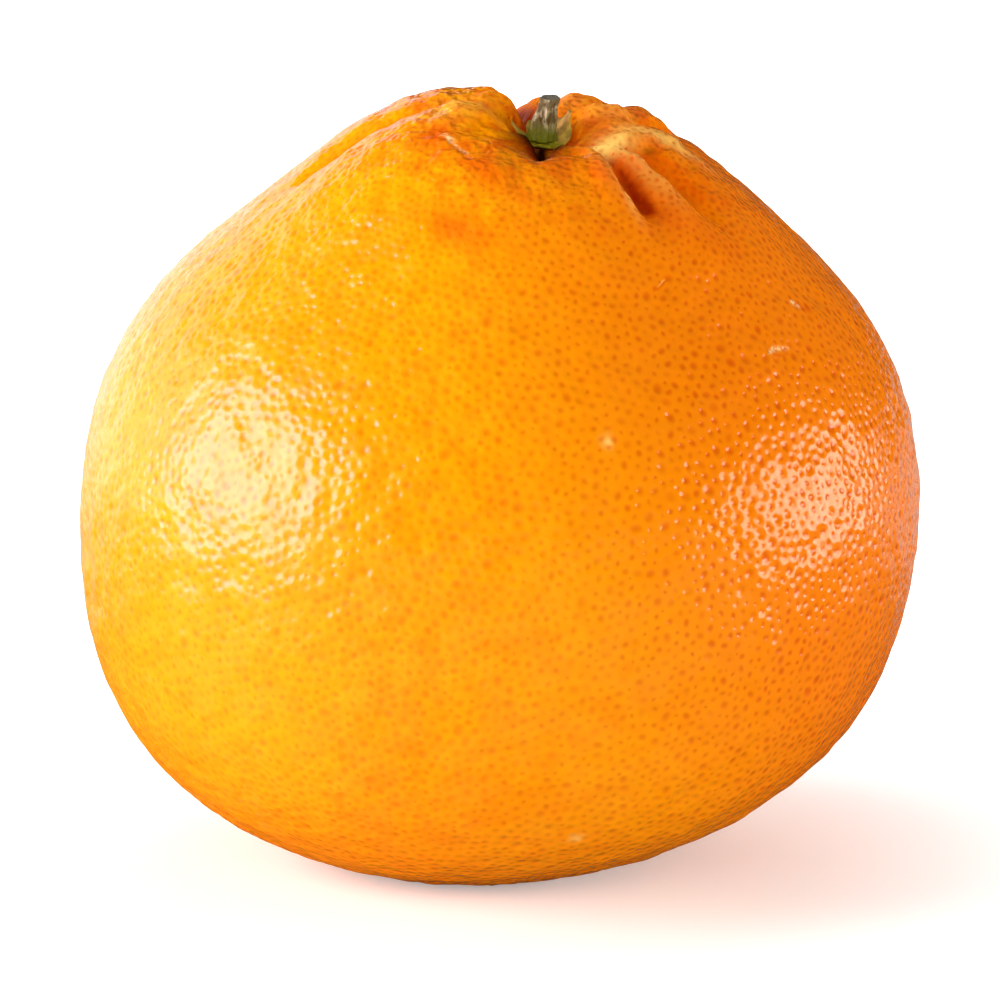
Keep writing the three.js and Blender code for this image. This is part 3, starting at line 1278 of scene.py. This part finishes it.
    def gland_cells(self, material: Material) -> tuple[Array, list[Array]]:
        """Strews the glands and reads the cell round each.

        Args:
            material: The rind's material.

        Returns:
            Headings of the cells' corners from the core, and each cell's corners.
        """
        bed = self.start_surface()
        tree = self.gland_tree(material)
        worker = bed.modifiers.new("glands", "NODES")
        worker.node_group = tree
        values = {"Spacing": self.gland_spacing * MM, "Seed": self.seed}
        values["Most per area"] = self.most_glands / MM**2
        for item in tree.interface.items_tree:
            if item.in_out == "INPUT" and item.name in values:
                worker[item.identifier] = values[item.name]
        seen = bed.evaluated_get(bpy.context.evaluated_depsgraph_get())
        cells = bpy.data.meshes.new_from_object(seen)
        corners = np.empty(len(cells.vertices) * 3)
        cells.vertices.foreach_get("co", corners)
        loops = np.empty(len(cells.loops), dtype=np.int64)
        cells.loops.foreach_get("vertex_index", loops)
        starts = np.empty(len(cells.polygons), dtype=np.int64)
        cells.polygons.foreach_get("loop_start", starts)
        bed.modifiers.remove(worker)
        bpy.data.objects.remove(bed)
        return corners.reshape(-1, 3), np.split(loops, starts[1:])

    def surface(self, heading: Array) -> tuple[Array, Array, Array]:
        """Puts headings from the core on the skin.

        Args:
            heading: Vectors from the core.

        Returns:
            Standing points, and the outward vector at each, in millimetres,
            and polar angle and azimuth side by side.
        """
        unit = heading / np.linalg.norm(heading, axis=1, keepdims=True)
        azimuth = np.arctan2(unit[:, 1] / self.skin.depth_over_width, unit[:, 0])
        girth = np.hypot(unit[:, 0], unit[:, 1] / self.skin.depth_over_width)
        polar = np.arctan2(girth, unit[:, 2])
        radius = self.skin.radius(polar, azimuth)
        raw = self.skin.from_core(polar, azimuth, radius)
        near = np.exp(-((girth * radius / self.neck_reach) ** 2)) * (unit[:, 2] > 0)
        swell = np.zeros(len(raw))
        for waves in self.swells:
            share = near if waves.on_neck else 1.0
            swell += waves.amount * share * waves.height(raw)
        out = raw / np.linalg.norm(raw, axis=1, keepdims=True)
        points = self.skin.stand(raw + out * swell[:, None])
        return points, out @ self.skin.turn.T, np.stack([polar, azimuth], axis=1)

    def build(self, waxy: Material, dull: Material) -> Piece:
        """Makes the rind.

        Args:
            waxy: The rind's material.
            dull: The same without its wax, for the dimple and the furrows.

        Returns:
            The rind's object.
        """
        cells = self.fan_out(*self.gland_cells(waxy))
        points, first = cells.points, cells.first
        size = self.pit_radii(cells)
        centre = points[first:].copy()
        points[first:] -= cells.outward[first:] * (self.pit_depth * size / size.mean())[:, None]
        np.maximum(points[:, 2], 0.0, out=points[:, 2])
        rind = new_piece("rind", points, cells.facing_out())
        self.describe(rind, cells, centre, size)
        rind.data.materials.append(waxy)
        rind.data.materials.append(dull)
        rind.data.polygons.foreach_set("material_index", self.unwaxed(cells).astype(np.int32))
        LOG.info("rind: %d glands, %d triangles", len(size), len(cells.fans))
        return rind

    def fan_out(self, corners: Array, cells: list[Array]) -> Cells:
        """Splits each cell into a fan of faces round its middle.

        Args:
            corners: Headings of the cells' corners from the core.
            cells: The corners of each cell.

        Returns:
            The fans on the skin.
        """
        sides = np.array([len(cell) for cell in cells])
        owner = np.repeat(np.arange(len(cells)), sides)
        here = np.concatenate(cells)
        there = np.concatenate([np.roll(cell, -1) for cell in cells])
        middle = np.zeros((len(cells), 3))
        np.add.at(middle, owner, corners[here])
        middle /= sides[:, None]
        points, outward, place = self.surface(np.vstack([corners, middle]))
        first = len(corners)
        return Cells(points, outward, place, first, owner, np.stack([first + owner, here, there], 1))

    def unwaxed(self, cells: Cells) -> Array:
        """Tells which faces lie in the dimple or deep in a furrow.

        Args:
            cells: The cells round the glands.

        Returns:
            True for each such face.
        """
        reach, depth, _, above = self.heights(cells.place[cells.fans[:, 0]])
        return above & ((reach < self.dull_reach) | (depth > self.dull_depth))

    def heights(self, place: Array) -> tuple[Array, Array, Array, Array]:
        """Measures the neck's relief.

        Args:
            place: Polar angles and azimuths side by side.

        Returns:
            Distances from the axis, depths of the furrows and heights of the
            lobes in millimetres, and True where the place is on the upper half.
        """
        polar, azimuth = place[:, 0], place[:, 1]
        reach = self.skin.body(polar, azimuth) * np.sin(polar)
        depth, height = self.skin.furrow_depth(reach, azimuth), self.skin.swelling(reach, azimuth)
        return reach, depth, height, np.cos(polar) > 0

    def pit_radii(self, cells: Cells) -> Array:
        """Gives each cell a round pit that fits it.

        Args:
            cells: The cells round the glands.

        Returns:
            One radius for each cell, in millimetres.
        """
        middle, here, there = (cells.points[cells.fans[:, i]] for i in range(3))
        side = there - here
        side /= np.maximum(np.linalg.norm(side, axis=1, keepdims=True), 1e-6)
        arm = middle - here
        away = np.linalg.norm(arm - side * (arm * side).sum(1, keepdims=True), axis=1)
        radii = np.full(len(cells.points) - cells.first, np.inf)
        np.minimum.at(radii, cells.owner, away)
        share = np.random.default_rng(self.seed).uniform(self.smallest, self.largest, len(radii))
        return np.clip(radii, *self.pit_reach) * share

    def describe(self, rind: Piece, cells: Cells, centre: Array, size: Array) -> None:
        """Keeps what the finish reads from the mesh.

        Args:
            rind: The rind's object.
            cells: The cells round the glands.
            centre: The middle of each gland.
            size: The size of each gland.
        """
        owner = cells.owner
        draw = np.random.default_rng(self.seed + 1)
        away = cells.points[cells.fans] - centre[owner][:, None, :]
        offset = away / size[owner][:, None, None]
        long_way = draw.normal(size=centre.shape)
        long_way /= np.linalg.norm(long_way, axis=1, keepdims=True)
        along = (offset * long_way[owner][:, None, :]).sum(2, keepdims=True)
        offset -= self.squash * along * long_way[owner][:, None, :]
        store(rind, "pit_offset", "CORNER", offset.reshape(-1, 3))
        store(rind, "pit_tone", "FACE", draw.uniform(*self.pit_tones, len(size))[owner])
        out = away / np.maximum(np.linalg.norm(away, axis=2, keepdims=True), 1e-6)
        out[:, 0] = 0.0
        store(rind, "cell_out", "CORNER", out.reshape(-1, 3))
        store(rind, "bowl", "FACE", draw.uniform(*self.bowls, len(size))[owner])
        reach, depth, height, above = self.heights(cells.place)
        store(rind, "furrow", "POINT", np.where(above, depth, 0.0))
        store(rind, "crest", "POINT", np.where(above, height, 0.0))
        neck = np.exp(-((reach / self.rough_reach) ** 4))
        store(rind, "neck", "POINT", np.where(above, neck, 0.0))
        for tone in Tone:
            store(rind, tone.value, "POINT", self.marking(cells.place, tone))

    def marking(self, place: Array, tone: Tone) -> Array:
        """Gives how strong the marks of one tone are at each point.

        Args:
            place: Polar angle and azimuth of each point.
            tone: Which marks are meant.

        Returns:
            Values from 0 to 1.
        """
        polar, azimuth = place[:, 0], place[:, 1]
        total = np.zeros(len(place))
        for mark in (mark for mark in self.marks if mark.tone is tone):
            down = (polar - math.radians(mark.polar)) * self.mean_radius
            across = wrapped(azimuth - math.radians(mark.azimuth)) * self.mean_radius
            across = across * math.sin(math.radians(mark.polar))
            heading = math.radians(mark.heading)
            along = down * math.cos(heading) + across * math.sin(heading)
            beside = across * math.cos(heading) - down * math.sin(heading)
            oval = (along / mark.length) ** 2 + (beside / mark.width) ** 2
            total += mark.amount * np.exp(-oval)
        return np.clip(total, 0.0, 1.0)


@dataclass(frozen=True)
class Sepal:
    """One point of the calyx: its place, length, rise and how dry it is."""

    azimuth: float
    extra: float
    spread: float
    rise: float
    dry: float


@dataclass
class Calyx:
    """The small ragged star the stem grows from, pressed into the dimple."""

    skin: Skin
    waist: float = 2.2
    sepals: tuple[Sepal, ...] = (
        Sepal(181.0, 1.6, 16.0, 0.1, 0.6),
        Sepal(262.0, 0.6, 28.0, -0.1, 0.0),
        Sepal(349.0, 0.5, 15.0, 0.2, 0.6),
        Sepal(31.0, 0.6, 27.0, 2.6, 1.0),
        Sepal(66.0, 0.9, 16.0, 0.3, 0.6),
        Sepal(122.0, 1.0, 18.0, 0.3, 0.5),
    )
    ripples: tuple[tuple[float, int, float], ...] = ((0.07, 9, 1.0), (0.05, 17, 0.0))
    dry_span: tuple[float, float] = (0.35, 0.7)
    middle: float = 1.1
    edge: float = 0.25
    crease: float = 0.05
    creases: int = 13
    gap: float = 0.2
    rings: int = 14
    sectors: int = 144

    def outline(self, azimuth: Array) -> tuple[Array, Array, Array]:
        """Gives the star's outline, how its points rise and how dry they are.

        Args:
            azimuth: Angles round the axis, in radians.

        Returns:
            Distances from the axis and heights added at the rim, in
            millimetres, and dryness from 0 to 1.
        """
        reach = self.waist
        for height, count, start in self.ripples:
            reach = reach + height * np.sin(count * azimuth + start)
        rise, dry = np.zeros_like(azimuth), np.zeros_like(azimuth)
        for sepal in self.sepals:
            apart = np.degrees(wrapped(azimuth - math.radians(sepal.azimuth))) / sepal.spread
            share = np.exp(-(apart**2))
            reach = reach + sepal.extra * share
            rise = rise + sepal.rise * share
            dry = dry + sepal.dry * share
        return reach, rise, np.clip(dry, 0.0, 1.0)

    def build(self, material: Material) -> Piece:
        """Makes the calyx.

        Args:
            material: Its material.

        Returns:
            The calyx's object.
        """
        azimuth = np.linspace(0.0, math.tau, self.sectors, endpoint=False)
        steps = np.linspace(0.0, 1.0, self.rings + 1)[1:]
        under = [(step, 0.0) for step in steps]
        over = [(step, 1.0) for step in steps[::-1]]
        dryness = self.outline(azimuth)[2]
        rows, out = [self.row(0.0, 0.0, azimuth)[:1]], [np.zeros(1)]
        for step, side in under + over:
            rows.append(self.row(step, side, azimuth))
            out.append(dryness * smooth_step(*self.dry_span, np.array(step)))
        rows.append(self.row(0.0, 1.0, azimuth)[:1])
        out.append(np.zeros(1))
        vertices = self.skin.stand(np.vstack(rows))
        calyx = new_piece("calyx_star", vertices, revolved_faces(2 * self.rings, self.sectors))
        store(calyx, "dryness", "POINT", np.concatenate(out))
        calyx.data.materials.append(material)
        LOG.info("calyx: %d points", len(self.sepals))
        return calyx

    def row(self, step: float, side: float, azimuth: Array) -> Array:
        """Places one ring of the star.

        Args:
            step: How far out the ring is, 0 at the axis and 1 at the rim.
            side: 0 for the underside, 1 for the top.
            azimuth: The ring's angles.

        Returns:
            Points about the core, in millimetres.
        """
        rim, rise, _ = self.outline(azimuth)
        reach = step * rim
        polar = np.arcsin(reach / self.skin.body_radii[0])
        seat = self.skin.radius(polar, azimuth, False) * np.cos(polar) + self.gap
        thick = self.middle + (self.edge - self.middle) * step**0.9
        crease = self.crease * np.sin(self.creases * azimuth) * step * side
        height = seat + side * thick + rise * step**3 + crease
        return np.stack([reach * np.cos(azimuth), reach * np.sin(azimuth), height], axis=-1)


@dataclass
class Stem:
    """The short ribbed stub of stalk, cut across."""

    skin: Skin
    foot: float = 1.15
    tip: float = 5.7
    foot_radius: float = 1.65
    low_radius: float = 1.5
    top_radius: float = 1.0
    foot_shift: float = -0.5
    ribs: int = 5
    rib: float = 0.07
    swellings: tuple[tuple[float, float, float], ...] = ((0.07, 0.52, 0.09), (0.05, 0.97, 0.05))
    cut_rings: tuple[float, ...] = (0.88, 0.6, 0.25)
    rings: int = 40
    sectors: int = 72

    def girth(self, along: float) -> float:
        """Gives the stem's plain radius part of the way up.

        Args:
            along: How far up, 0 at the foot and 1 at the cut.

        Returns:
            The radius in millimetres.
        """
        flare = (self.foot_radius - self.low_radius) * math.exp(-along / 0.1)
        waist = self.low_radius + (self.top_radius - self.low_radius) * min(along / 0.75, 1.0)
        radius = waist + flare
        for height, place, spread in self.swellings:
            radius += height * math.exp(-(((along - place) / spread) ** 2))
        return radius

    def build(self, material: Material) -> Piece:
        """Makes the stem.

        Args:
            material: Its material.

        Returns:
            The stem's object.
        """
        floor = float(self.skin.radius(np.zeros(1), np.zeros(1), False)[0])
        azimuth = np.linspace(0.0, math.tau, self.sectors, endpoint=False)
        steps = [(u, 1.0, 0.0) for u in np.linspace(0.0, 1.0, self.rings)]
        steps = [(0.0, 0.6, 0.0)] + steps + [(1.0, part, 1.0) for part in self.cut_rings]
        foot = np.array([[self.foot_shift, 0.0, floor + self.foot]])
        rows, along, cut = [foot], [np.zeros(1)], [np.zeros(1)]
        for u, part, face in steps:
            rib = self.rib * np.cos(self.ribs * azimuth + 0.9 * u + 0.4)
            rib += 0.035 * np.cos(11 * azimuth - 2.0 * u) + 0.04 * np.sin(2 * azimuth + 0.7)
            radius = self.girth(u) * part * (1.0 + rib)
            height = floor + self.foot + (self.tip - self.foot) * u
            dish = face * (0.1 - 0.28 * (1.0 - part))
            slant = 0.1 * radius * np.cos(azimuth) * smooth_step(0.8, 1.0, np.array(u))
            x, y = radius * np.cos(azimuth), radius * np.sin(azimuth)
            x = x + self.foot_shift * (1.0 - u)
            rows.append(np.stack([x, y, height + dish + slant], axis=-1))
            along.append(np.full(self.sectors, u))
            cut.append(np.full(self.sectors, face))
        rows.append(np.array([[0.0, 0.0, floor + self.tip - 0.16]]))
        along.append(np.ones(1))
        cut.append(np.ones(1))
        vertices = self.skin.stand(np.vstack(rows))
        stem = new_piece("stem_stub", vertices, revolved_faces(len(steps), self.sectors))
        store(stem, "along", "POINT", np.concatenate(along))
        store(stem, "cut_face", "POINT", np.concatenate(cut))
        stem.data.materials.append(material)
        LOG.info("stem: %.1f mm above the dimple's floor", self.tip)
        return stem


def shown(graph: Graph, lit: float, mirrored: object) -> Socket:
    """Gives a brightness of 1 to the rays that show the background.

    Args:
        graph: Where the nodes go.
        lit: What rays that light the fruit get.
        mirrored: What rays off its gloss get, a number or a socket.

    Returns:
        The socket that holds the brightness.
    """
    path = graph.node("ShaderNodeLightPath")
    seen = graph.math("MAXIMUM", path.outputs["Is Camera Ray"], path.outputs["Is Transmission Ray"])
    more = graph.math("SUBTRACT", mirrored, lit)
    change = graph.math("MULTIPLY", path.outputs["Is Glossy Ray"], more)
    return graph.math("MAXIMUM", seen, graph.math("ADD", change, lit))


@dataclass
class Floor:
    """A plain pale floor that shows white where no shadow falls."""

    radius: float = 3.0
    sectors: int = 96
    glow: float = 0.31
    near: float = 0.035
    far: float = 0.1
    mirrored: float = 0.05
    mirrored_behind: float = 0.5
    behind: tuple[float, float] = (0.06, 0.16)
    colour: Rgba = (0.84, 0.83, 0.8, 1.0)

    def build(self) -> Piece:
        """Makes the floor.

        Returns:
            The floor's object.
        """
        azimuth = np.linspace(0.0, math.tau, self.sectors, endpoint=False)
        ring = np.stack([np.cos(azimuth), np.sin(azimuth), np.zeros(self.sectors)], axis=-1)
        vertices = np.vstack([np.zeros((1, 3)), ring * self.radius / MM])
        faces = [[0, 1 + i, 1 + (i + 1) % self.sectors] for i in range(self.sectors)]
        floor = new_piece("floor", vertices, faces)
        floor.data.materials.append(self.finish())
        return floor

    def finish(self) -> Material:
        """Builds the floor's material.

        Returns:
            The material.
        """
        material = bpy.data.materials.new("floor paper")
        material.use_nodes = True
        graph = Graph(material.node_tree)
        material.node_tree.nodes.remove(material.node_tree.nodes["Principled BSDF"])
        paper = graph.node("ShaderNodeBsdfDiffuse", {"Color": self.colour}).outputs[0]
        place = graph.node("ShaderNodeTexCoord").outputs["Object"]
        spread = graph.ramp(graph.vector("LENGTH", place), self.near, self.far, self.glow, 1.0)
        behind = graph.node("ShaderNodeSeparateXYZ", {0: place}).outputs["Y"]
        mirrored = graph.ramp(behind, *self.behind, self.mirrored, self.mirrored_behind)
        strength = graph.times(shown(graph, 0.0, mirrored), spread)
        glow = graph.node("ShaderNodeEmission", {"Color": WHITE, "Strength": strength}).outputs[0]
        both = graph.node("ShaderNodeAddShader", {0: paper, 1: glow}).outputs[0]
        glossy = graph.node("ShaderNodeLightPath").outputs["Is Glossy Ray"]
        both = graph.node("ShaderNodeMixShader", {0: glossy, 1: both, 2: glow}).outputs[0]
        graph.feed(material.node_tree.nodes["Material Output"].inputs["Surface"], both)
        return material


@dataclass
class Lamp:
    """One soft rectangular lamp, aimed at the fruit."""

    name: str
    azimuth: float
    elevation: float
    distance: float
    width: float
    height: float
    power: float
    tint: tuple[float, float, float] = (1.0, 1.0, 1.0)
    lights: bool = True
    mirrored: bool = True

    def build(self, aim: Vector) -> None:
        """Makes the lamp.

        Args:
            aim: The point it shines at.
        """
        light = bpy.data.lights.new(self.name, "AREA")
        light.shape = "RECTANGLE"
        light.size, light.size_y = self.width, self.height
        light.energy = self.power
        light.color = self.tint
        light.cycles.use_multiple_importance_sampling = self.mirrored
        lamp = bpy.data.objects.new(self.name, light)
        lamp.visible_diffuse, lamp.visible_glossy = self.lights, self.mirrored
        around, up = math.radians(self.azimuth), math.radians(self.elevation)
        away = Vector(
            (math.sin(around) * math.cos(up), -math.cos(around) * math.cos(up), math.sin(up))
        )
        lamp.location = aim + away * self.distance
        lamp.rotation_euler = away.to_track_quat("Z", "Y").to_euler()
        bpy.context.scene.collection.objects.link(lamp)


@dataclass
class Studio:
    """Lamps, surroundings and camera."""

    lamps: tuple[Lamp, ...] = (
        Lamp("left softbox", -83.0, 8.0, 0.8, 0.68, 0.8, 15.0, mirrored=False),
        Lamp("left glint", -77.0, 8.0, 0.81, 0.68, 0.8, 17.0, (1.0, 0.54, 1.0), lights=False),
        Lamp("left wall", -142.0, -2.0, 1.1, 1.5, 1.5, 7.5, (1.0, 0.9, 1.0)),
        Lamp("left rim", -148.0, 3.0, 0.3, 0.3, 0.11, 0.06, lights=False),
        Lamp("right softbox", 99.0, -3.0, 0.8, 0.6, 0.4, 8.0, mirrored=False),
        Lamp("right glint", 88.0, 3.0, 0.3, 0.23, 0.11, 0.45, (1.0, 0.88, 0.8), lights=False),
        Lamp("front wash", -12.0, 8.0, 2.0, 2.5, 2.5, 46.0, mirrored=False),
        Lamp("right wash", 45.0, 10.0, 2.0, 2.0, 2.0, 11.0, mirrored=False),
        Lamp("back wash", 170.0, 40.0, 1.5, 1.0, 1.0, 5.0, mirrored=False),
    )
    surround: float = 0.17
    mirrored: float = 0.03
    camera_distance: float = 0.7
    camera_elevation: float = 10.0
    lens: float = 234.1
    aim_height: float = 0.0389
    aim_forward: float = -0.00081

    def build(self) -> None:
        """Makes the lamps, the world and the camera."""
        low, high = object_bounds()
        middle = (Vector(low) + Vector(high)) / 2.0
        aim = Vector((middle.x, middle.y + self.aim_forward, self.aim_height))
        for lamp in self.lamps:
            lamp.build(aim)
        self.world()
        self.camera(aim)
        bpy.context.scene.view_settings.view_transform = "Standard"

    def world(self) -> None:
        """Makes surroundings that light softly and show white."""
        world = bpy.data.worlds.new("white room")
        world.use_nodes = True
        bpy.context.scene.world = world
        graph = Graph(world.node_tree)
        room = world.node_tree.nodes["Background"]
        room.inputs["Color"].default_value = WHITE
        graph.feed(room.inputs["Strength"], shown(graph, self.surround, self.mirrored))

    def camera(self, aim: Vector) -> None:
        """Makes the camera.

        Args:
            aim: The point it looks at.
        """
        data = bpy.data.cameras.new("camera")
        data.lens = self.lens
        data.sensor_width = 36.0
        data.clip_end = 20.0
        camera = bpy.data.objects.new("camera", data)
        up = math.radians(self.camera_elevation)
        away = Vector((0.0, -math.cos(up), math.sin(up)))
        camera.location = aim + away * self.camera_distance
        camera.rotation_euler = away.to_track_quat("Z", "Y").to_euler()
        bpy.context.scene.collection.objects.link(camera)
        bpy.context.scene.camera = camera


def main() -> None:
    """Builds the orange and its studio."""
    logging.basicConfig(level=logging.INFO, format="%(name)s: %(message)s")
    effects = Effects()
    skin = Skin()
    waxy = RindFinish().build(effects, skin)
    dull = RindFinish("dull rind skin", roughness=0.5, specular=0.02).build(effects, skin)
    rind = Rind(skin).build(waxy, dull)
    calyx = Calyx(skin).build(CalyxFinish().build(effects))
    stem = Stem(skin).build(StemFinish().build(effects))
    for piece, node, slot in (
        (rind, "fruit", Slot.RIND),
        (calyx, "calyx", Slot.CALYX),
        (stem, "stem", Slot.STEM),
    ):
        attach(piece, "root")
        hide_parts(node)
    Studio().build()
    Floor().build()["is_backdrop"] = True


if __name__ == "__main__":
    main()
